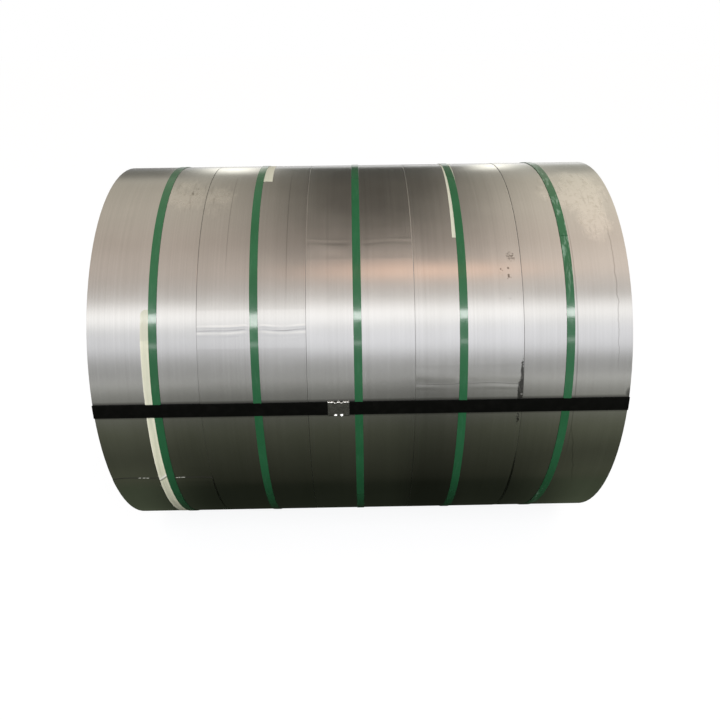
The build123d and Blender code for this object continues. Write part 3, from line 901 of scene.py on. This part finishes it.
share = times(tree, share, blend(tree, times(tree, far_back, horizon), 1.0, on_right))
grey = place(tree, "ShaderNodeCombineXYZ", [share, share, share]).outputs[0]
hall = tint(tree, 1.0, shades.outputs[0], grey, "MULTIPLY")
# Two open doors at the far end
for middle, half in ((-0.165, 0.06), (0.2, 0.045)):
    door = times(tree, fade(tree, apart(tree, sky["X"], middle), half, 0.0),
                fade(tree, apart(tree, arch, 168.0), 13.0, 2.0))
    hall = tint(tree, door, hall, (2.0, 1.95, 1.75, 1))
# Two rows of windows, and one warm lamp above them
WINDOWS = ((38.0, 12.0, (0.96, 0.95, 0.95, 1), 1.0, 0.95), (22.0, 14.0, (0.55, 0.55, 0.60, 1), 0.85, 1.45))
for middle, half, colour, left, right in WINDOWS:
    off = apart(tree, arch, middle)
    level = place(tree, "ShaderNodeMapRange", [sky["X"], -0.25, 0.25, left, right]).outputs[0]
    hall = tint(tree, times(tree, fade(tree, off, half, 0.0), level), hall, colour, "ADD")
lamp_up = fade(tree, apart(tree, arch, 64.5), 7.5, 0.0)
lamp_across = fade(tree, apart(tree, sky["X"], 0.1), 0.24, 0.0)
hall = tint(tree, times(tree, lamp_up, lamp_across), hall, (1.45, 0.96, 0.72, 1))
# Straight out from the bundle's ends the light is plain
ends = fade(tree, sums(tree, "ABSOLUTE", sky["X"]), 0.55, 0.9)
hall = tint(tree, ends, hall, (0.62, 0.61, 0.59, 1))
hall = tint(tree, place(tree, "ShaderNodeLightPath").outputs["Is Camera Ray"], hall, (1, 1, 1, 1))
background = tree.nodes["Background"]
tree.links.new(hall, background.inputs["Color"])
background.inputs["Strength"].default_value = 1.0


def hang_lamp(name, place_at, aim, size, power, mirrored):
    """A rectangular soft lamp that the camera doesn't see."""
    data = bpy.data.lights.new(name, "AREA")
    data.shape = "RECTANGLE"
    data.size, data.size_y = size
    data.energy = power
    lamp = bpy.data.objects.new(name, data)
    way = Vector(aim) - Vector(place_at)
    lamp.matrix_world = Matrix.Translation(place_at) @ way.to_track_quat("-Z", "Y").to_matrix().to_4x4()
    lamp.visible_camera = False
    lamp.visible_glossy = mirrored
    bpy.context.scene.collection.objects.link(lamp)
    return lamp


# Bare window panes glint in the plastic bands, the tapes and the seal's lips
glint_takers = bpy.data.collections.new("glint_takers")
for taker in bands + tapes + [seal]:
    glint_takers.objects.link(taker)
PANE_DISTANCE = 5.0
PANE_WIDTH = 9.0
PANE_AIM = Vector((0, -0.4, 0.72))
for name, elevation, tall, glare in (("upper_glints", 34.5, 0.44, 20.0), ("lower_glints", 18.5, 0.22, 5.0)):
    rise = radians(elevation)
    hung = (0.0, -PANE_DISTANCE * cos(rise), PANE_AIM.z + PANE_DISTANCE * sin(rise))
    power = glare * pi * PANE_WIDTH * tall
    lamp = hang_lamp(name, hung, PANE_AIM, (PANE_WIDTH, tall), power, mirrored=True)
    lamp.visible_diffuse = False
    lamp.light_linking.receiver_collection = glint_takers
hang_lamp("front_fill", place_at=(0.0, -3.9, 3.4), aim=(0, 0, 0.5), size=(4.0, 2.4), power=115.0,
          mirrored=False)

# Camera: in front of the bundle and above it, where the photographer stood. Its turns are in radians,
# its focal length in pixels of the picture, and its place in radii of a coil.
FOCAL = 664.108
PICTURE = 720
SENSOR = 36.0
DISTANCE = 4.01109 * COIL
SIDESTEP = -0.031479 * COIL
ELEVATION = 24.0
YAW = -0.00873100
PITCH = -0.0339262
ROLL = -0.0158871
cy, sy = cos(YAW), sin(YAW)
cp, sp = cos(PITCH), sin(PITCH)
cr, sr = cos(ROLL), sin(ROLL)
swing = Matrix(((cy, sy, 0), (-sy, cy, 0), (0, 0, 1)))
nod = Matrix(((1, 0, 0), (0, cp, sp), (0, -sp, cp)))
tip = Matrix(((cr, 0, sr), (0, 1, 0), (-sr, 0, cr)))
level_rows = tip @ nod @ swing
raise_up = Matrix.Rotation(radians(-ELEVATION), 3, "X")
right, forward, upward = (raise_up @ Vector(row) for row in level_rows)
stand = raise_up @ Vector((SIDESTEP, -DISTANCE, 0.0)) + AXIS
camera_data = bpy.data.cameras.new("camera")
camera_data.sensor_width = SENSOR
camera_data.lens = FOCAL / PICTURE * SENSOR
camera = bpy.data.objects.new("camera", camera_data)
camera.matrix_world = Matrix.Translation(stand) @ Matrix((right, upward, -forward)).transposed().to_4x4()
bpy.context.scene.collection.objects.link(camera)
bpy.context.scene.camera = camera
bpy.context.scene.view_settings.view_transform = "Standard"
